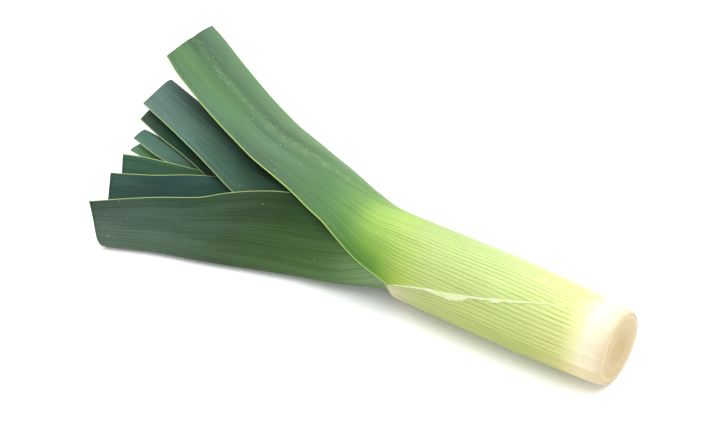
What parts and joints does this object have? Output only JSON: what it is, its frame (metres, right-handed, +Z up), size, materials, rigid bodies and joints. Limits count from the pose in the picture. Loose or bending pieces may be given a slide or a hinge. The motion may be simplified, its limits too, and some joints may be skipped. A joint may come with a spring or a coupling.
{
  "type": "trimmed leek",
  "caption": "Trimmed leek lying on its side: pale shank with a cut root end, opening into a fan of folded dark green leaf blades with cut tips.",
  "frame": {"origin": "centre of the bounding box in plan, on the surface the leek lies on", "axes": "+X along the shank towards the cut root end, blades towards -X, +Y towards the side the top leaf leans to, +Z up"},
  "size_m": [0.302, 0.1486, 0.044],
  "materials": {
    "pale_sheath": "satin",
    "green_leaf": "waxy satin",
    "root_plate": "matte"
  },
  "bodies": {
    "root": {"root_plate": "root_plate", "leaf_1": "pale_sheath", "leaf_2": "green_leaf", "leaf_3": "green_leaf", "leaf_4": "green_leaf", "leaf_5": "green_leaf", "leaf_6": "green_leaf", "leaf_7": "green_leaf", "leaf_8": "green_leaf"}
  },
  "joints": []
}
